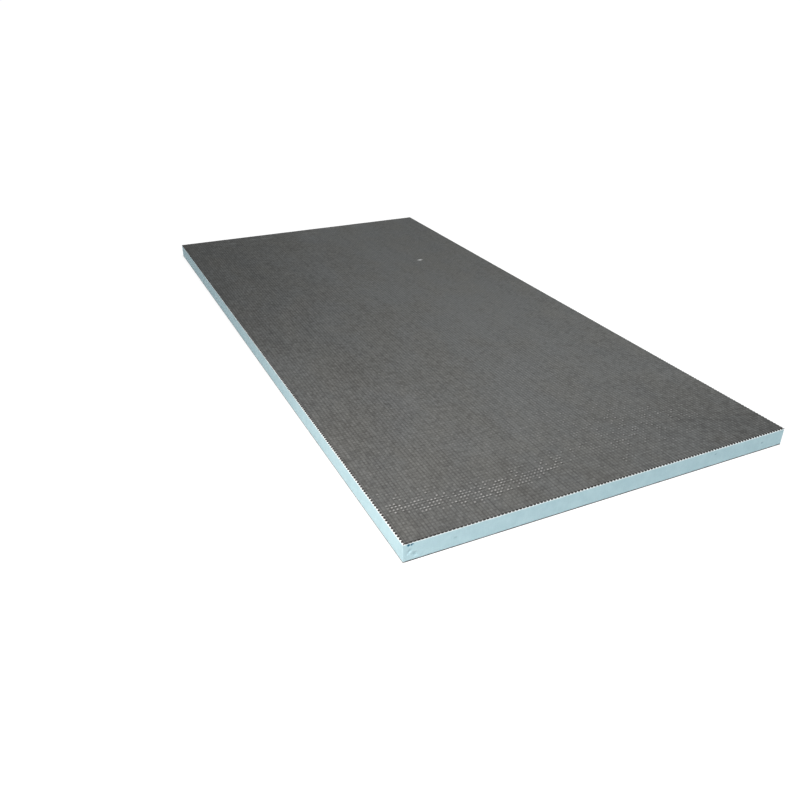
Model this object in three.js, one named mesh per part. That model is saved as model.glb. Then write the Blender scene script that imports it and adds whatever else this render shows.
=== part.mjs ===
// Foam tile backer board: a sandwich panel for lining walls and floors under tiles.
// A core of extruded polystyrene foam carries a thin coat of polymer-modified cement mortar
// on each broad face. A glass fibre mesh lies in each coat, and its grid shows as a relief
// far finer than these solids hold, so each coat is a plain slab up to its mesh.
//
// Millimetres, +Z up. The board lies flat: its width runs along X and its length along Y.
// The origin is the middle of the underside.

import * as THREE from "three";

const board_width = 600;
const board_length = 1200;
const core_thickness = 25;
const top_coat_thickness = 1;
const bottom_coat_thickness = 1;

// Every layer is sawn through in one cut, so all of them share the board's outline.
function layer(name, thickness, underside_height, material) {
  const slab = new THREE.BoxGeometry(board_width, board_length, thickness);
  const mesh = new THREE.Mesh(slab, material);
  mesh.name = name;
  mesh.position.z = underside_height + thickness / 2;
  return mesh;
}

// Dry cement mortar, dark warm grey, quite without gloss.
function mortar() {
  return new THREE.MeshStandardMaterial({
    color: 0x66665f,
    roughness: 0.9,
    metalness: 0,
  });
}

// Sawn polystyrene foam, pale blue, with a faint sheen from its cut cells.
function foam() {
  return new THREE.MeshStandardMaterial({
    color: 0xb9dbe6,
    roughness: 0.75,
    metalness: 0,
  });
}

const core_underside = bottom_coat_thickness;
const core_upper_side = core_underside + core_thickness;

const board = new THREE.Group();
board.add(layer("bottom_coat", bottom_coat_thickness, 0, mortar()));
board.add(layer("foam_core", core_thickness, core_underside, foam()));
board.add(layer("top_coat", top_coat_thickness, core_upper_side, mortar()));

export default board;
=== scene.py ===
"""Foam tile backer board: a pale blue foam core between two coats of grey mortar.

The coats are rebuilt with the relief of the glass fibre mesh that lies in them, and with
the ragged arris that the saw left. The core is rebuilt with soft arrises, saw waves and a
few dents. All lengths are in metres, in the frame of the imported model.
"""

import math

import bpy
import numpy as np
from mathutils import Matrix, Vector


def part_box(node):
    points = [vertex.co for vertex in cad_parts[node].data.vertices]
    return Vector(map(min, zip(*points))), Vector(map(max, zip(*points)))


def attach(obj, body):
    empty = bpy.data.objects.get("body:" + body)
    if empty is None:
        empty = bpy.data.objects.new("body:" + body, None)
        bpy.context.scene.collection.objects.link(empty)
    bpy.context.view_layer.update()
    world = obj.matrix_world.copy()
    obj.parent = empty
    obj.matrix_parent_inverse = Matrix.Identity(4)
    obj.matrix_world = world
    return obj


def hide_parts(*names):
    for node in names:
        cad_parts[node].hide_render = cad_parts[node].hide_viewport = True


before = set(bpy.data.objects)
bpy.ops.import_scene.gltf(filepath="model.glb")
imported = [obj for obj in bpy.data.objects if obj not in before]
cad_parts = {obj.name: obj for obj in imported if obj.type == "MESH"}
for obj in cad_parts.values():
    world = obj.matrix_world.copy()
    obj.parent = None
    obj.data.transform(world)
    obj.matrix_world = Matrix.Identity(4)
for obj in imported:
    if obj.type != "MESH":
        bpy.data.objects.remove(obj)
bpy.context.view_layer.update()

MM = 0.001

# The two coats and the core each have random values of their own.
TOP_SEED = 27
BOTTOM_SEED = 28
CORE_SEED = 32

# The board's own sizes.
core_low, core_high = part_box("foam_core")
top_low, top_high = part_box("top_coat")
bottom_low, bottom_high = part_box("bottom_coat")
half_width = core_high.x
half_length = core_high.y
core_height = core_high.z - core_low.z

# The mesh in the coats: about how far apart its strands lie, and how many there are.
strands_across = round(2 * half_width / (5.05 * MM))
strands_along = round(2 * half_length / (5.3 * MM))
pitch_across = 2 * half_width / strands_across
pitch_along = 2 * half_length / strands_along

# The relief of the coats. A furrow lies over each strand, and each has its own strength.
# The fill is how deep a furrow is on the whole, and how far that swings along its way.
long_furrow_depth = 0.24 * MM
cross_furrow_depth = 0.16 * MM
long_strengths = 0.8, 1.1
cross_strengths = 0.6, 1.1
long_fill, long_fill_swing = 0.85, 0.25
cross_fill, cross_fill_swing = 0.8, 0.5
furrow_sharpness = 2.4
deep_furrow_every = 4
deep_furrow_times = 1.35
crown_unevenness = 0.07 * MM
trowel_wave = 0.04 * MM
glow_height = 0.06 * MM
highest_crest = crown_unevenness + trowel_wave + glow_height

# The sawn arris of the coats: it is worn down near the outline, and its mortar is broken
# back in gaps. The foot of a wall is broken back by a share of what its upper edge is.
arris_drop = 0.22 * MM
arris_reach = 2.4 * MM
foot_share = 0.35

# The teeth between the gaps: how far the dark of a tooth reaches in, and from what depth
# on a gap shows in full. That dark is partly the dark strand ends and partly painted shade.
tooth_root = 1.7 * MM
full_gap_depth = 1.0 * MM

# As shares of how deep an edge is broken: the deepest gap, the root of the most that a
# tooth loses, and its chips. The softness is how gradually a gap opens.
deepest_gap = 1.1
tooth_loss_root = 0.30
chip_share = 0.10
gap_softness = 0.26

# A place counts as on the outline, or as facing the front, from this value on.
nearly_whole = 0.99

# The rim is the strip inside one strand of the outline. Its grid lines lie closer together
# than those of the field inside it, and closest at the outline.
rim_places = (0, 0.09, 0.2, 0.34, 0.52, 0.74, 1)
rim_lines = 8

# The foam core. Its grid lines lie closer together near the front left corner and the back
# left one.
corner_radius = 0.7 * MM
corner_steps = 6
arris_bevel = 0.55 * MM
side_step = 2.0 * MM
fine_side_step = 0.6 * MM
fine_reach = 26 * MM
side_rows = 38

# The saw's traces on the core: their depth, and how many swells they have around it.
saw_wave = 0.10 * MM
saw_grain = 0.035 * MM
wide_swells = 240
narrow_swells = 700
arris_swells = 500

# Where the crowns shine with a painted highlight, and rise a little: a band along a shallow
# arc, and a few looser zones. A zone is its distance from the left edge and from the front
# edge, its reach each way, and the share of crowns that shine there.
arc_left = 135 * MM
arc_front = 43 * MM
arc_bend = 1.2
arc_near_reach = 8 * MM
arc_far_reach = 25 * MM
arc_starts = 2 * MM, 26 * MM
arc_fades = 190 * MM, 330 * MM
arc_share = 0.97
GLOW_ZONES = (
    (362 * MM, 71 * MM, 28 * MM, 7 * MM, 0.45),
    (345 * MM, 32 * MM, 14 * MM, 14 * MM, 0.40),
    (478 * MM, 106 * MM, 11 * MM, 7 * MM, 0.50),
    (430 * MM, 95 * MM, 140 * MM, 65 * MM, 0.36),
    (135 * MM, 30 * MM, 30 * MM, 8 * MM, 0.30),
    (330 * MM, 190 * MM, 120 * MM, 120 * MM, 0.16),
    (40 * MM, 90 * MM, 60 * MM, 20 * MM, 0.25),
)
STRAY_GLOW = 0.05

# Lighter and darker stretches painted on the mortar as light and shade, for how the light
# falls across the top: place and reach as above, and the change.
LIGHT_AND_SHADE_PATCHES = (
    (-30 * MM, 1050 * MM, 240 * MM, 480 * MM, -1.10),
    (600 * MM, 1250 * MM, 260 * MM, 260 * MM, 1.0),
    (260 * MM, 130 * MM, 260 * MM, 200 * MM, 0.45),
    (500 * MM, 800 * MM, 330 * MM, 560 * MM, 1.1),
    (600 * MM, 0 * MM, 180 * MM, 130 * MM, -0.90),
)

# Pale rubbed marks: place and reach as above, and how pale.
RUBBED_MARKS = (
    (464 * MM, 873 * MM, 4.5 * MM, 2.5 * MM, 1.0),
    (110 * MM, 1161 * MM, 9 * MM, 4 * MM, 0.07),
    (164 * MM, 1173 * MM, 12 * MM, 4 * MM, 0.06),
    (190 * MM, 1169 * MM, 7 * MM, 4 * MM, 0.08),
    (299 * MM, 1173 * MM, 10 * MM, 4 * MM, 0.06),
    (321 * MM, 1168 * MM, 7 * MM, 4 * MM, 0.07),
    (371 * MM, 1188 * MM, 14 * MM, 4 * MM, 0.06),
    (437 * MM, 1182 * MM, 10 * MM, 4 * MM, 0.07),
)


def smooth(share):
    return share * share * (3 - 2 * share)


def bell(x, y, zone):
    """1 in the middle of a zone of the board, fading to 0 outside its reach."""
    from_left, from_front, reach_x, reach_y = zone
    across = (x + half_width - from_left) / reach_x
    along = (y + half_length - from_front) / reach_y
    return np.exp(-across * across - along * along)


class Swells:
    """Smooth random values from -1 to 1 over the board, with swells of a set size."""

    def __init__(self, rng, size_x, size_y):
        self.size = size_x, size_y
        rows = math.ceil(2 * half_length / size_y) + 2
        columns = math.ceil(2 * half_width / size_x) + 2
        self.values = rng.uniform(-1, 1, (rows, columns))

    def at(self, x, y):
        across = (x + half_width) / self.size[0]
        along = (y + half_length) / self.size[1]
        column = np.clip(np.floor(across).astype(int), 0, self.values.shape[1] - 2)
        row = np.clip(np.floor(along).astype(int), 0, self.values.shape[0] - 2)
        right = smooth(np.clip(across - column, 0, 1))
        back = smooth(np.clip(along - row, 0, 1))
        front_value = self.values[row, column] * (1 - right)
        front_value = front_value + self.values[row, column + 1] * right
        back_value = self.values[row + 1, column] * (1 - right)
        back_value = back_value + self.values[row + 1, column + 1] * right
        return front_value * (1 - back) + back_value * back


class SawnEdge:
    """One edge of a coat. Its mortar is broken back between the strands that end there."""

    def __init__(self, rng, length, strands, start_depth, end_depth, gap_share, unevenness):
        self.length = length
        self.pitch = length / strands
        self.depths = start_depth, end_depth
        self.opens_at = math.cos(0.5 * math.pi * gap_share)
        self.gap_depth = rng.uniform(1 - unevenness, deepest_gap, strands + 1)
        self.tooth_loss = rng.uniform(0, tooth_loss_root, strands + 1) ** 2
        self.chips = rng.uniform(0, 1, strands * rim_lines + 2)

    def at(self, distance):
        """How far back the edge is broken, how open a gap is there, and how long teeth are."""
        place = np.clip(distance / self.length, 0, 1)
        gap = np.minimum((distance / self.pitch).astype(int), len(self.gap_depth) - 1)
        opening = np.sin(np.pi * (distance / self.pitch - gap))
        opening = smooth(np.clip((opening - self.opens_at) / gap_softness + 0.5, 0, 1))
        depth = self.depths[0] + (self.depths[1] - self.depths[0]) * place
        chip = self.chips[(distance / self.pitch * rim_lines).astype(int)]
        broken = opening * self.gap_depth[gap] + self.tooth_loss[gap] + chip_share * chip
        shows = np.minimum(depth / full_gap_depth, 1)
        return depth * broken, opening * shows, depth


# How the saw left the coats' edges: how far back the gaps are broken at the edge's start
# and at its end, the share of each strand's pitch that they take, and how uneven they are.
# The long edges start at the front, the short ones at the left.
TOP_EDGES = {
    "left": (1.5 * MM, 0.4 * MM, 0.42, 0.35),
    "right": (0.9 * MM, 0.9 * MM, 0.42, 0.4),
    "front": (0.5 * MM, 1.7 * MM, 0.33, 0.28),
    "back": (0.7 * MM, 0.7 * MM, 0.30, 0.5),
}
BOTTOM_EDGES = {side: (0.1 * MM, 0.1 * MM, 0.2, 0.8) for side in TOP_EDGES}


class Relief:
    """The outer face of a coat: its depth, its wear and its painted light and shade, at any place
    of the board.
    """

    def __init__(self, seed, edges, with_wear_and_painted_light):
        rng = np.random.default_rng(seed)
        self.with_wear_and_painted_light = with_wear_and_painted_light
        self.long_strength = rng.uniform(*long_strengths, strands_across + 1)
        self.long_strength[::deep_furrow_every] *= deep_furrow_times
        self.cross_strength = rng.uniform(*cross_strengths, strands_along + 1)
        self.crowns = rng.uniform(-1, 1, (strands_along + 1, strands_across + 1))
        self.filled_long = Swells(rng, size_x=9 * MM, size_y=55 * MM)
        self.filled_cross = Swells(rng, size_x=34 * MM, size_y=40 * MM)
        self.trowel = Swells(rng, size_x=23 * MM, size_y=150 * MM)
        width, length = 2 * half_width, 2 * half_length
        self.left = SawnEdge(rng, length, strands_along, *edges["left"])
        self.right = SawnEdge(rng, length, strands_along, *edges["right"])
        self.front = SawnEdge(rng, width, strands_across, *edges["front"])
        self.back = SawnEdge(rng, width, strands_across, *edges["back"])

    def depth(self, x, y):
        """Depth below the highest place that the face could have."""
        across = (x + half_width) / pitch_across
        along = (y + half_length) / pitch_along
        strand = np.rint(across).astype(int)
        row = np.rint(along).astype(int)
        long_fills = long_fill + long_fill_swing * self.filled_long.at(x, y)
        cross_fills = cross_fill + cross_fill_swing * self.filled_cross.at(x, y)
        furrow = np.abs(np.cos(np.pi * across)) ** furrow_sharpness
        furrow = furrow * self.long_strength[strand] * long_fills * long_furrow_depth
        cross = np.abs(np.cos(np.pi * along)) ** furrow_sharpness
        cross = cross * self.cross_strength[row] * cross_fills * cross_furrow_depth
        cell = self.crowns[np.floor(along).astype(int), np.floor(across).astype(int)]
        crown = (np.sin(np.pi * across) * np.sin(np.pi * along)) ** 2
        glow_rise = glow_height * self.glow(x, y)
        depth = np.maximum(furrow, cross) + crown * (crown_unevenness * cell - glow_rise)
        depth = depth + trowel_wave * self.trowel.at(x, y) + highest_crest
        return depth + arris_drop * self.rim(x, y) * self.with_wear_and_painted_light

    def rim(self, x, y):
        """1 at the board's outline, fading to 0 a little inside it."""
        inside = np.minimum(half_width - np.abs(x), half_length - np.abs(y))
        return np.clip(1 - inside / arris_reach, 0, 1)

    def glow(self, x, y):
        """The share of crowns that shine at a place, with a painted highlight."""
        if not self.with_wear_and_painted_light:
            return np.full(x.shape, STRAY_GLOW)
        from_left = x + half_width
        beyond = y + half_length - arc_front - arc_bend * (from_left - arc_left) ** 2
        reach = np.where(beyond > 0, arc_far_reach, arc_near_reach)
        starts_from, starts_to = arc_starts
        fades_from, fades_to = arc_fades
        fade = smooth(np.clip((fades_to - from_left) / (fades_to - fades_from), 0, 1))
        fade = fade * smooth(np.clip((from_left - starts_from) / (starts_to - starts_from), 0, 1))
        dull = (1 - STRAY_GLOW) * (1 - arc_share * fade * np.exp(-((beyond / reach) ** 2)))
        for *zone, share in GLOW_ZONES:
            dull = dull * (1 - share * bell(x, y, zone))
        return 1 - dull

    def tone(self, x, y):
        """How much lighter or darker the mortar is painted at a place, as light and shade, 0.5 on
        the whole.
        """
        change = sum(amount * bell(x, y, zone) for *zone, amount in LIGHT_AND_SHADE_PATCHES)
        return np.clip(0.5 + 0.5 * change * self.with_wear_and_painted_light, 0, 1)

    def rubbed(self, x, y):
        marks = sum(amount * bell(x, y, zone) for *zone, amount in RUBBED_MARKS)
        return np.clip(marks * self.with_wear_and_painted_light, 0, 1)

    def broken(self, x, y):
        """How far a place is moved in x and y, how much it is in a gap, and on a tooth."""
        moves = []
        gaps = []
        teeth = []
        sides = (
            (half_width + x, pitch_across, self.left, half_length + y),
            (half_width - x, pitch_across, self.right, half_length + y),
            (half_length + y, pitch_along, self.front, half_width + x),
            (half_length - y, pitch_along, self.back, half_width + x),
        )
        for inside, rim_width, edge, distance in sides:
            near = smooth(np.clip(1 - inside / rim_width, 0, 1))
            depth, gap, tooth_length = edge.at(distance)
            gap = gap * self.with_wear_and_painted_light
            moves.append(near * depth)
            gaps.append((inside < arris_reach) * gap)
            on_tooth = np.clip((tooth_length + tooth_root - inside) / tooth_root, 0, 1)
            teeth.append(on_tooth * (1 - gap))
        move_x = moves[0] - moves[1]
        move_y = moves[2] - moves[3]
        return move_x, move_y, np.max(gaps, axis=0), np.max(teeth, axis=0)

    def normals(self, x, y):
        """Unit normals of the face, from its depth close by on both sides."""
        step = 0.3 * MM
        inner_x = np.clip(x, step - half_width, half_width - step)
        inner_y = np.clip(y, step - half_length, half_length - step)
        rise_x = self.depth(inner_x + step, y) - self.depth(inner_x - step, y)
        rise_y = self.depth(x, inner_y + step) - self.depth(x, inner_y - step)
        normals = np.stack([rise_x, rise_y, np.full(x.shape, 2 * step)], axis=2)
        return normals / np.linalg.norm(normals, axis=2, keepdims=True)


def add_attribute(mesh, name, domain, values):
    attribute = mesh.attributes.new(name, "FLOAT", domain)
    attribute.data.foreach_set("value", np.asarray(values, np.float32))


def smooth_first(mesh, count):
    """Shades the first so many faces of a mesh smooth, and the others flat."""
    mesh.polygons.foreach_set("use_smooth", [i < count for i in range(len(mesh.polygons))])


def patch_faces(rows, columns):
    """A closed patch's quads, its walls, its foot, and the points around its grid."""
    number = np.arange(rows * columns).reshape(rows, columns)
    quads = np.stack(
        [number[:-1, :-1], number[:-1, 1:], number[1:, 1:], number[1:, :-1]], axis=2
    ).reshape(-1, 4)
    loop = np.concatenate(
        [number[0, :-1], number[:-1, -1], number[-1, :0:-1], number[:0:-1, 0]]
    )
    foot = rows * columns + np.arange(len(loop))
    walls = np.stack([foot, np.roll(foot, -1), np.roll(loop, -1), loop], axis=1)
    return quads, walls, foot, loop


def patch_points(relief, x, y, loop, outer_z, inner_z, up):
    """The points of a patch's face, and below them those of its foot."""
    move_x, move_y = relief.broken(x, y)[:2]
    face = np.stack([x + move_x, y + move_y, outer_z - up * relief.depth(x, y)], axis=2)
    foot_x = x + foot_share * move_x
    foot_y = y + foot_share * move_y
    base = np.stack([foot_x, foot_y, np.full(x.shape, inner_z)], axis=2)
    return np.concatenate([face.reshape(-1, 3), base.reshape(-1, 3)[loop]])


def set_face_normals(mesh, face_normals, grid_corners):
    """Gives the grid of a patch the normals of its relief. The other faces keep their own."""
    corners = np.empty(len(mesh.loops), int)
    mesh.loops.foreach_get("vertex_index", corners)
    normals = np.zeros((len(corners), 3))
    normals[:grid_corners] = face_normals[corners[:grid_corners]]
    mesh.normals_split_custom_set(normals.tolist())


def add_wear_and_painted_light(mesh, relief, x, y, loop, grid_faces):
    """Writes the wear of a patch, and its painted light and shade, into its mesh, for the
    material.
    """
    gap, tooth = relief.broken(x, y)[2:]
    for edge_wear, values in (("gap", gap.ravel()), ("tooth", tooth.ravel())):
        add_attribute(mesh, edge_wear, "POINT", np.concatenate([values, values[loop]]))
    all_x = np.concatenate([x.ravel(), x.ravel()[loop]])
    all_y = np.concatenate([y.ravel(), y.ravel()[loop]])
    add_attribute(mesh, "glow", "POINT", relief.glow(all_x, all_y))
    add_attribute(mesh, "tone", "POINT", relief.tone(all_x, all_y))
    add_attribute(mesh, "rubbed", "POINT", relief.rubbed(all_x, all_y))
    add_attribute(mesh, "rim", "POINT", relief.rim(all_x, all_y))
    on_outline = relief.rim(x, y).ravel()[loop] > nearly_whole
    sawn = on_outline & np.roll(on_outline, -1)
    add_attribute(mesh, "sawn", "FACE", np.concatenate([np.zeros(grid_faces), sawn, [0]]))


def add_patch(name, node, relief, x_lines, y_lines, outer_z, inner_z, material):
    """A closed patch of a coat: a grid of its face, side walls and a flat inner face."""
    up = 1 if outer_z > inner_z else -1
    x, y = np.meshgrid(x_lines, y_lines)
    quads, walls, foot, loop = patch_faces(*x.shape)
    faces = np.concatenate([quads, walls]).tolist() + [foot[::-1].tolist()]
    if up < 0:
        faces = [face[::-1] for face in faces]
    mesh = bpy.data.meshes.new(name)
    points = patch_points(relief, x, y, loop, outer_z, inner_z, up)
    mesh.from_pydata(points.tolist(), [], faces)
    smooth_first(mesh, len(quads))
    set_face_normals(mesh, relief.normals(x, y).reshape(-1, 3) * (1, 1, up), quads.size)
    add_wear_and_painted_light(mesh, relief, x, y, loop, len(quads))
    mesh.materials.append(material)
    piece = bpy.data.objects.new(name, mesh)
    bpy.context.scene.collection.objects.link(piece)
    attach(piece, "root")
    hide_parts(node)


def even_lines(first_strand, last_strand, pitch, lines_per_strand, half_extent):
    """Grid lines from one strand to another, so many to each."""
    count = (last_strand - first_strand) * lines_per_strand + 1
    return np.linspace(first_strand, last_strand, count) * pitch - half_extent


def add_coat(node, relief, lines_across, lines_along, strips, outer_z, inner_z, material):
    """One coat as patches side by side, which replace its plain slab."""

    def patch(name, x_lines, y_lines):
        full_name = f"{node}_{name}"
        add_patch(full_name, node, relief, x_lines, y_lines, outer_z, inner_z, material)

    last_across = strands_across - 1
    last_along = strands_along - 1
    near_x = np.array(rim_places) * pitch_across - half_width
    near_y = np.array(rim_places) * pitch_along - half_length
    whole_length = even_lines(0, strands_along, pitch_along, rim_lines, half_length)
    between_rims = even_lines(1, last_across, pitch_across, rim_lines, half_width)
    patch("left_rim", near_x, whole_length)
    patch("right_rim", -near_x[::-1], whole_length)
    patch("front_rim", between_rims, near_y)
    patch("back_rim", between_rims, -near_y[::-1])
    field_x = even_lines(1, last_across, pitch_across, lines_across, half_width)
    cuts = np.linspace(1, last_along, strips + 1).round().astype(int)
    for number, (first, last) in enumerate(zip(cuts[:-1], cuts[1:]), start=1):
        field_y = even_lines(first, last, pitch_along, lines_along, half_length)
        patch(f"field_{number}", field_x, field_y)


# Marks on the front side of the core: distance from its left corner, distance below its
# upper arris, half width, depth, and how dark.
FRONT_DENTS = (
    (7.2 * MM, 2.6 * MM, 1.15 * MM, 1.2 * MM, 4.5),
    (11.2 * MM, 3.2 * MM, 0.9 * MM, 1.2 * MM, 2.4),
    (12.6 * MM, 2.4 * MM, 0.8 * MM, 1.0 * MM, 1.6),
    (9.0 * MM, 11.3 * MM, 2.0 * MM, 1.5 * MM, 0.04),
    (6.6 * MM, 14.6 * MM, 1.4 * MM, 0.9 * MM, 0.03),
    (15.4 * MM, 17.9 * MM, 2.4 * MM, 1.7 * MM, 0.04),
    (67.7 * MM, 12.2 * MM, 1.1 * MM, 0.5 * MM, 0.7),
    (470.5 * MM, 7.6 * MM, 1.2 * MM, 0.5 * MM, 0.6),
    (559.9 * MM, 12.8 * MM, 1.3 * MM, 0.5 * MM, 0.7),
)


def soft_noise(rng, rows, columns, swells_down, swells_across):
    """Smooth random values from -1 to 1, with about that many swells each way."""
    coarse = rng.uniform(-1, 1, (swells_down + 1, swells_across + 1))

    def spread(values, count):
        place = np.linspace(0, len(values) - 1, count)
        low = np.minimum(place.astype(int), len(values) - 2)
        share = smooth(place - low)[:, None]
        return values[low] * (1 - share) + values[low + 1] * share

    return spread(spread(coarse, rows).T, columns).T


def side_places(length, fine_at_start, fine_at_end):
    """Distances along a side from its first corner, closer together where asked."""
    straight = length - 2 * corner_radius
    start = fine_reach if fine_at_start else 0
    end = fine_reach if fine_at_end else 0
    middle = straight - start - end
    parts = []
    if fine_at_start:
        parts.append(np.arange(0, start, fine_side_step))
    parts.append(start + np.linspace(0, middle, round(middle / side_step) + 1)[:-1])
    if fine_at_end:
        parts.append(start + middle + np.arange(0, end, fine_side_step))
    return corner_radius + np.concatenate(parts)


def core_outline():
    """Points around the core seen from above, from the front left corner, and normals."""
    corners = (
        (-half_width, -half_length),
        (half_width, -half_length),
        (half_width, half_length),
        (-half_width, half_length),
    )
    fine = ((True, False), (False, False), (False, False), (False, True))
    points, normals = [], []
    for side in range(4):
        here, there = np.array(corners[side]), np.array(corners[(side + 1) % 4])
        length = np.linalg.norm(there - here)
        along = (there - here) / length
        out = np.array([along[1], -along[0]])
        for place in side_places(length, *fine[side]):
            points.append(here + along * place)
            normals.append(out)
        centre = there - (along + out) * corner_radius
        for step in range(corner_steps):
            angle = 0.5 * math.pi * step / corner_steps
            normal = out * math.cos(angle) + along * math.sin(angle)
            points.append(centre + normal * corner_radius)
            normals.append(normal)
    return np.array(points), np.array(normals)


def core_carving(outline, normals, heights):
    """How deep the core's sides are carved, and how dark they are, row by row."""
    rng = np.random.default_rng(CORE_SEED)
    rows, count = len(heights), len(outline)
    at_arris = (heights == 0) | (heights == core_height)
    inset = np.where(at_arris, arris_bevel, 0.0)[:, None]
    waves = soft_noise(rng, rows, count, 2, wide_swells)
    waves = waves + 0.5 * soft_noise(rng, rows, count, 4, narrow_swells)
    carve = saw_wave * (0.6 + 0.4 * waves) + saw_grain * rng.uniform(0, 1, (rows, count))
    carve = carve + inset * (1 + 0.5 * soft_noise(rng, rows, count, 1, arris_swells))

    # How much darker the sides are in and around the dents.
    dent_dark = np.zeros((rows, count))
    front = normals[:, 1] < -nearly_whole
    from_left = outline[:, 0] + half_width
    below = core_height - heights
    for left, down, reach, deep, dark in FRONT_DENTS:
        gap = ((from_left[None, :] - left) ** 2 + (below[:, None] - down) ** 2) / reach**2
        dent = np.exp(-gap) * front[None, :]
        carve += deep * dent
        dent_dark = np.maximum(dent_dark, np.minimum(dark * dent, 1))
    return carve, dent_dark


def add_core(material):
    """The foam core: four sawn sides with soft arrises, closed above and below."""
    outline, normals = core_outline()
    inner_rows = np.linspace(arris_bevel, core_height - arris_bevel, side_rows - 1)
    heights = np.concatenate([[0], inner_rows, [core_height]])
    carve, dent_dark = core_carving(outline, normals, heights)

    rows, count = carve.shape
    points = np.zeros((rows, count, 3))
    points[:, :, 0] = outline[:, 0] - normals[:, 0] * carve
    points[:, :, 1] = outline[:, 1] - normals[:, 1] * carve
    points[:, :, 2] = core_low.z + heights[:, None]
    number = np.arange(rows * count).reshape(rows, count)
    following = np.roll(number, -1, axis=1)
    quads = np.stack(
        [number[:-1], following[:-1], following[1:], number[1:]], axis=2
    ).reshape(-1, 4)
    faces = quads.tolist() + [number[-1].tolist(), number[0][::-1].tolist()]
    mesh = bpy.data.meshes.new("foam_core_sawn")
    mesh.from_pydata(points.reshape(-1, 3).tolist(), [], faces)
    smooth_first(mesh, len(quads))
    add_attribute(mesh, "dent_dark", "POINT", dent_dark.ravel())
    mesh.materials.append(material)
    piece = bpy.data.objects.new("foam_core_sawn", mesh)
    bpy.context.scene.collection.objects.link(piece)
    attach(piece, "root")
    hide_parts("foam_core")


class Shader:
    """A material's node tree, with short ways to add and join its nodes."""

    def __init__(self, name):
        self.material = bpy.data.materials.new(name)
        self.material.use_nodes = True
        self.tree = self.material.node_tree
        self.surface = self.tree.nodes["Principled BSDF"]
        self.place = self.node("ShaderNodeTexCoord").outputs["Object"]

    def node(self, kind, **settings):
        made = self.tree.nodes.new(kind)
        for key, value in settings.items():
            setattr(made, key, value)
        return made

    def put(self, socket, value):
        if isinstance(value, bpy.types.NodeSocket):
            self.tree.links.new(value, socket)
        else:
            socket.default_value = value

    def noise(self, size, stretch=(1, 1, 1), detail=3.0, roughness=0.5):
        """Noise from 0 to 1 with swells about that size, in metres, times the stretch."""
        mapping = self.node("ShaderNodeMapping")
        self.put(mapping.inputs["Vector"], self.place)
        mapping.inputs["Scale"].default_value = [1 / (size * s) for s in stretch]
        texture = self.node("ShaderNodeTexNoise")
        self.put(texture.inputs["Vector"], mapping.outputs["Vector"])
        texture.inputs["Scale"].default_value = 1.0
        texture.inputs["Detail"].default_value = detail
        texture.inputs["Roughness"].default_value = roughness
        return texture.outputs["Fac"]

    def cells(self, size):
        """Distance from the middle of the nearest of many cells, as a share of their size."""
        texture = self.node("ShaderNodeTexVoronoi")
        self.put(texture.inputs["Vector"], self.place)
        texture.inputs["Scale"].default_value = 1 / size
        return texture.outputs["Distance"]

    def random(self, number):
        """A value from 0 to 1 that is its own for each number."""
        texture = self.node("ShaderNodeTexWhiteNoise")
        self.put(texture.inputs["Vector"], number)
        return texture.outputs["Value"]

    def attribute(self, name):
        return self.node("ShaderNodeAttribute", attribute_name=name).outputs["Fac"]

    def sum(self, first, second, operation="ADD"):
        node = self.node("ShaderNodeMath", operation=operation)
        self.put(node.inputs[0], first)
        self.put(node.inputs[1], second)
        return node.outputs[0]

    def times(self, first, second):
        return self.sum(first, second, "MULTIPLY")

    def vector(self, operation, first, second=(0, 0, 0)):
        node = self.node("ShaderNodeVectorMath", operation=operation)
        self.put(node.inputs[0], first)
        self.put(node.inputs[1], second)
        return node.outputs["Value" if operation == "LENGTH" else "Vector"]

    def ranged(self, value, low, high, to_low=0.0, to_high=1.0):
        """The value, moved softly from one range to another and held inside it."""
        node = self.node("ShaderNodeMapRange", interpolation_type="SMOOTHSTEP")
        for socket, number in zip(node.inputs, (value, low, high, to_low, to_high)):
            self.put(socket, number)
        return node.outputs["Result"]

    def spot(self, inside, middle, reach):
        """1 in the middle of a spot in each cell of the mesh, fading to 0 at its rim."""
        gap = self.vector("SUBTRACT", inside, (*middle, 0))
        gap = self.vector("MULTIPLY", gap, (1 / reach[0], 1 / reach[1], 0))
        return self.ranged(self.vector("LENGTH", gap), 0.15, 1.0, 1.0, 0.0)

    def blend(self, share, first, second, how="MIX"):
        """A mix of two colours. Its colour sockets share their names with others."""
        node = self.node("ShaderNodeMix", data_type="RGBA", blend_type=how)
        sockets = {socket.identifier: socket for socket in node.inputs}
        self.put(sockets["Factor_Float"], share)
        self.put(sockets["A_Color"], first)
        self.put(sockets["B_Color"], second)
        return node.outputs[2]

    def bump(self, height, distance, below=None):
        node = self.node("ShaderNodeBump")
        self.put(node.inputs["Height"], height)
        node.inputs["Distance"].default_value = distance
        if below is not None:
            self.put(node.inputs["Normal"], below)
        return node.outputs["Normal"]

    def parts(self, vector):
        """The x, y and z of a vector."""
        node = self.node("ShaderNodeSeparateXYZ")
        self.put(node.inputs[0], vector)
        return node.outputs

    def layered(self, tone, *layers):
        """The tone with layers added: each a noise, the range of it that counts, and a share."""
        for texture, low, high, share in layers:
            tone = self.sum(tone, self.times(self.ranged(texture, low, high), share))
        return tone


class MeshPlace:
    """Where a place of the mortar lies among the strands, with random values of its own."""

    def __init__(self, shader):
        moved = shader.vector("ADD", shader.place, (half_width, half_length, 0))
        place = shader.vector("MULTIPLY", moved, (1 / pitch_across, 1 / pitch_along, 0))
        cell = shader.vector("FLOOR", place)
        strand = shader.vector("FLOOR", shader.vector("ADD", place, (0.5, 0.5, 0)))
        self.from_left = shader.parts(moved)[0]
        self.inside = shader.vector("FRACTION", place)
        self.own = shader.random(cell)
        self.other_own = shader.random(shader.vector("ADD", cell, (0, 0, 5)))
        self.row_own = shader.random(shader.vector("MULTIPLY", cell, (0, 1, 0)))
        self.strand_own = shader.random(shader.vector("MULTIPLY", strand, (1, 0, 0)))


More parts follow.
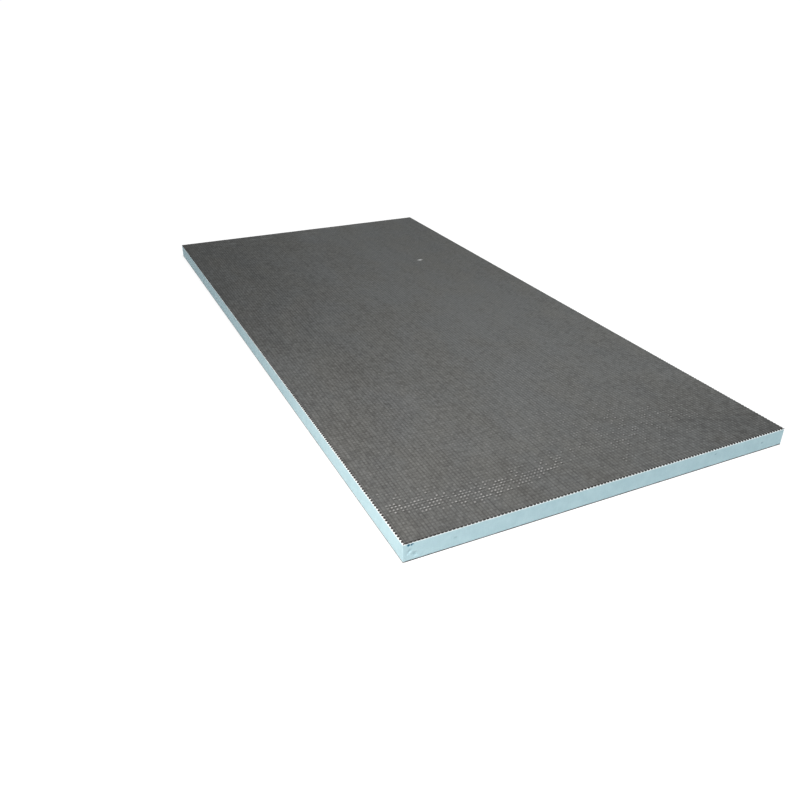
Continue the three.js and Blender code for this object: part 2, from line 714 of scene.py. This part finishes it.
def mortar_colour(shader, grain):
    """The mortar's colour: painted light and shade from place to place, with its own mottle,
    specks and warmer or cooler tint.
    """
    dark = (0.0555, 0.0565, 0.0555, 1)
    light = (0.105, 0.108, 0.107, 1)
    warm = (1.005, 1.00, 0.975, 1)
    cool = (0.982, 1.00, 1.01, 1)
    mottle = shader.noise(60 * MM, stretch=(1, 1.8, 1), detail=5, roughness=0.6)
    streaks = shader.noise(9 * MM, stretch=(1, 12, 1), detail=3)
    specks = shader.noise(6 * MM, detail=4, roughness=0.7)
    # The tone attribute is painted light and shade; the mottle, streaks, specks and grain over it
    # are the mortar's own.
    tone = shader.layered(
        shader.times(shader.attribute("tone"), 0.8),
        (mottle, 0.3, 0.7, 0.24),
        (streaks, 0.3, 0.7, 0.10),
        (specks, 0.3, 0.7, 0.84),
        (grain, 0.25, 0.75, 0.46),
    )
    colour = shader.blend(shader.sum(tone, -0.66), dark, light)
    hue = shader.noise(70 * MM, stretch=(1, 1.5, 1), detail=4, roughness=0.6)
    tint = shader.blend(shader.ranged(hue, 0.35, 0.65), warm, cool)
    return shader.blend(1.0, colour, tint, "MULTIPLY")


def over_mesh(shader, mesh, colour):
    """The colour with a paler crown in each cell, partly its own and partly painted highlight,
    and a dark furrow over each strand, partly dark mortar and partly painted shade.
    """
    # Furrow dark: partly dark mortar, partly painted shade. Crown pale: partly its own, partly
    # painted highlight.
    furrow = (0.022, 0.022, 0.022, 1)
    crown_tone = (0.185, 0.188, 0.183, 1)
    pillow = shader.spot(mesh.inside, middle=(0.5, 0.5), reach=(0.46, 0.66))
    pillow_strength = shader.times(shader.times(mesh.own, mesh.own), 0.30)
    pillow_strength = shader.sum(pillow_strength, 0.05)
    colour = shader.blend(shader.times(pillow, pillow_strength), colour, crown_tone)
    across, along, _ = shader.parts(mesh.inside)
    off_middle_x = shader.sum(shader.sum(across, 0.5, "SUBTRACT"), 0, "ABSOLUTE")
    off_middle_y = shader.sum(shader.sum(along, 0.5, "SUBTRACT"), 0, "ABSOLUTE")
    long_line = shader.ranged(off_middle_x, 0.34, 0.5)
    long_strength = shader.sum(shader.times(mesh.strand_own, 0.36), 0.22)
    colour = shader.blend(shader.times(long_line, long_strength), colour, furrow)
    cross_line = shader.ranged(off_middle_y, 0.36, 0.5)
    return shader.blend(shader.times(cross_line, 0.12), colour, furrow)


def painted_crown_highlight(shader, mesh):
    """How strong the painted highlight on a cell's crown is: by the glow at its place, and by
    chance.
    """
    glow = shader.attribute("glow")
    chance = shader.times(glow, shader.sum(shader.times(mesh.row_own, 0.35), 0.88))
    dullest = shader.sum(1.0, chance, "SUBTRACT")
    shines = shader.ranged(mesh.own, dullest, shader.sum(dullest, 0.55))
    shines = shader.times(shines, shader.ranged(glow, 0.0, 0.75, 0.30, 1.0))
    return shader.times(shines, shader.ranged(mesh.other_own, 0.0, 0.8, 0.35, 1.15))


def at_edges(shader, mesh, colour, torn):
    """The colour with dark teeth along the edges, partly the dark strand ends and partly painted
    shade, and paler torn mortar in the gaps.

    The walls are dark below a tooth, partly dark mortar and partly painted shade, torn in a
    gap, and dusty all along the left edge.
    """
    # Near black: the dark strand ends with painted shade over them.
    tooth = (0.008, 0.007, 0.007, 1)
    gap = shader.ranged(shader.attribute("gap"), 0.3, 0.7)
    outline = shader.ranged(shader.attribute("rim"), 0.8, 1.0)
    colour = shader.blend(shader.attribute("tooth"), colour, tooth)
    colour = shader.blend(shader.times(outline, shader.times(gap, 0.6)), colour, torn)
    dusty = shader.ranged(mesh.from_left, 2 * MM, 3 * MM, 0.8, 0.0)
    wall_colour = shader.blend(shader.sum(gap, dusty, "MAXIMUM"), tooth, torn)
    return shader.blend(shader.attribute("sawn"), colour, wall_colour)


def mortar_material():
    """Dry mortar over the mesh: dark furrows, paler crowns, painted highlights on some crowns,
    and painted shade in the pits in front of them.
    """
    shader = Shader("mortar")
    mesh = MeshPlace(shader)
    # Colours of the painted highlight on shining crowns and of the painted shade in the pits.
    painted_highlight = (0.345, 0.345, 0.34, 1)
    pit_shade = (0.012, 0.012, 0.012, 1)
    torn = (0.60, 0.62, 0.62, 1)
    grain = shader.noise(1.3 * MM, detail=4, roughness=0.7)
    colour = over_mesh(shader, mesh, mortar_colour(shader, grain))

    shines = painted_crown_highlight(shader, mesh)
    # A painted highlight on the crown of each shining cell.
    spot = shader.spot(mesh.inside, middle=(0.5, 0.56), reach=(0.34, 0.26))
    spot = shader.times(spot, shines)
    # Painted shade in the pit in front of a shining crown, and a little in every cell.
    pit = shader.spot(mesh.inside, middle=(0.5, 0.10), reach=(0.46, 0.30))
    pit_strength = shader.times(shader.ranged(shines, 0.0, 0.5), 0.6)
    pit_strength = shader.sum(pit_strength, shader.times(mesh.other_own, 0.30))
    colour = shader.blend(shader.times(pit, pit_strength), colour, pit_shade)
    colour = shader.blend(spot, colour, painted_highlight)
    colour = shader.blend(shader.attribute("rubbed"), colour, torn)
    colour = at_edges(shader, mesh, colour, torn)
    shader.put(shader.surface.inputs["Base Color"], colour)

    rough = shader.ranged(spot, 0.0, 1.0, 0.82, 0.5)
    shader.put(shader.surface.inputs["Roughness"], rough)
    shader.surface.inputs["Specular IOR Level"].default_value = 0.2
    pores = shader.noise(0.5 * MM, detail=3)
    normal = shader.bump(grain, 0.10 * MM)
    normal = shader.bump(pores, 0.04 * MM, normal)
    shader.put(shader.surface.inputs["Normal"], normal)
    return shader.material


def foam_material():
    """Sawn foam: pale blue, cut cells, faint saw lines, painted highlights along its arrises,
    darker in its dents.
    """
    shader = Shader("foam")
    blue = (0.362, 0.540, 0.600, 1)
    pale = (0.450, 0.632, 0.685, 1)
    # The colour at the middle of the dents, darker than the foam around them.
    dent_colour = (0.006, 0.11, 0.19, 1)
    # Painted highlight along the upper and lower arrises.
    arris_highlight = (0.90, 0.97, 0.98, 1)
    mottle = shader.noise(14 * MM, detail=5, roughness=0.65)
    lines = shader.noise(1.6 * MM, stretch=(1, 1, 9), detail=3)
    grain = shader.noise(0.9 * MM, detail=3, roughness=0.6)
    tone = shader.layered(
        0.0,
        (mottle, 0.3, 0.7, 0.5),
        (lines, 0.3, 0.7, 0.25),
        (grain, 0.3, 0.7, 0.25),
    )
    colour = shader.blend(tone, blue, pale)
    height = shader.parts(shader.place)[2]
    uneven = shader.times(shader.noise(4 * MM, detail=3), 1.2 * MM)
    from_top = shader.sum(shader.sum(core_high.z, height, "SUBTRACT"), uneven)
    from_foot = shader.sum(shader.sum(height, core_low.z, "SUBTRACT"), uneven)
    # Where the arris highlight is painted: strong along the upper arris, weaker along the lower.
    upper_arris = shader.ranged(from_top, 1.1 * MM, 2.3 * MM, 0.75, 0.0)
    lower_arris = shader.ranged(from_foot, 0.9 * MM, 2.0 * MM, 0.35, 0.0)
    colour = shader.blend(upper_arris, colour, arris_highlight)
    colour = shader.blend(lower_arris, colour, arris_highlight)
    colour = shader.blend(shader.attribute("dent_dark"), colour, dent_colour)
    shader.put(shader.surface.inputs["Base Color"], colour)
    shader.surface.inputs["Roughness"].default_value = 0.7
    shader.surface.inputs["Specular IOR Level"].default_value = 0.3
    normal = shader.bump(shader.cells(0.45 * MM), 0.05 * MM)
    normal = shader.bump(lines, 0.10 * MM, normal)
    shader.put(shader.surface.inputs["Normal"], normal)
    return shader.material


# The camera, as the photograph was taken: its place seen from the middle of the top face.
# The lens and the sensor's width are in millimetres.
camera_offset = Vector((-0.59275, -1.19344, 0.54895))
camera_tilt = math.radians(61.107)
camera_roll = math.radians(-0.494)
camera_heading = math.radians(-25.568)
camera_lens = 34.153
camera_sensor = 36


def add_camera():
    data = bpy.data.cameras.new("camera")
    data.sensor_width = camera_sensor
    data.lens = camera_lens
    data.clip_end = 200
    camera = bpy.data.objects.new("camera", data)
    camera.location = camera_offset + Vector((0, 0, top_high.z))
    camera.rotation_euler = (camera_tilt, camera_roll, camera_heading)
    bpy.context.scene.collection.objects.link(camera)
    bpy.context.scene.camera = camera


# How far the floor reaches each way, in metres.
floor_reach = 40


def add_floor():
    """A white studio floor, bright enough of itself to show as plain white."""
    corners = (
        (-floor_reach, -floor_reach, 0),
        (floor_reach, -floor_reach, 0),
        (floor_reach, floor_reach, 0),
        (-floor_reach, floor_reach, 0),
    )
    mesh = bpy.data.meshes.new("floor")
    mesh.from_pydata(corners, [], [(0, 1, 2, 3)])
    material = bpy.data.materials.new("floor_white")
    material.use_nodes = True
    surface = material.node_tree.nodes["Principled BSDF"]
    surface.inputs["Base Color"].default_value = (0.2, 0.2, 0.2, 1)
    surface.inputs["Emission Color"].default_value = (1, 1, 1, 1)
    surface.inputs["Emission Strength"].default_value = 0.84
    surface.inputs["Roughness"].default_value = 0.9
    surface.inputs["Specular IOR Level"].default_value = 0.1
    mesh.materials.append(material)
    floor = bpy.data.objects.new("floor", mesh)
    bpy.context.scene.collection.objects.link(floor)


def aim(light, place, target):
    light.location = place
    light.rotation_euler = (Vector(target) - Vector(place)).to_track_quat("-Z", "Y").to_euler()


def add_sun(name, place, strength, softness_degrees):
    data = bpy.data.lights.new(name, "SUN")
    data.energy = strength
    data.angle = math.radians(softness_degrees)
    light = bpy.data.objects.new(name, data)
    aim(light, place, (0, 0, 0))
    bpy.context.scene.collection.objects.link(light)


def add_panel(name, place, target, size, power, colour=(1, 1, 1), spread_degrees=180):
    data = bpy.data.lights.new(name, "AREA")
    data.color = colour
    data.shape = "SQUARE"
    data.size = size
    data.spread = math.radians(spread_degrees)
    data.energy = power
    light = bpy.data.objects.new(name, data)
    aim(light, place, target)
    bpy.context.scene.collection.objects.link(light)


def add_world(strength):
    world = bpy.data.worlds.new("studio")
    world.use_nodes = True
    background = world.node_tree.nodes["Background"]
    background.inputs["Color"].default_value = (1, 1, 1, 1)
    background.inputs["Strength"].default_value = strength
    bpy.context.scene.world = world


def add_lights():
    """A soft key from above, a fill over the front, and a warm one beside the left side."""
    add_world(strength=0.02)
    add_sun("key", place=(0.129, -0.26, 0.957), strength=3.1, softness_degrees=30)
    add_panel("top_panel", place=(0.3, -0.4, 0.7), target=(0.2, -0.3, 0), size=0.6, power=1.9)
    add_panel(
        "left_panel",
        place=(-0.8, -0.72, 0.46),
        target=(-0.3, -0.44, 0),
        size=0.5,
        power=2.3,
        colour=(1.0, 0.92, 0.87),
        spread_degrees=98,
    )
    bpy.context.scene.view_settings.view_transform = "Standard"


add_camera()
mortar = mortar_material()
add_coat(
    "top_coat",
    Relief(TOP_SEED, TOP_EDGES, with_wear_and_painted_light=True),
    lines_across=4,
    lines_along=2,
    strips=3,
    outer_z=top_high.z,
    inner_z=top_low.z,
    material=mortar,
)
add_coat(
    "bottom_coat",
    Relief(BOTTOM_SEED, BOTTOM_EDGES, with_wear_and_painted_light=False),
    lines_across=2,
    lines_along=2,
    strips=2,
    outer_z=bottom_low.z,
    inner_z=bottom_high.z,
    material=mortar,
)
add_core(foam_material())
add_floor()
add_lights()
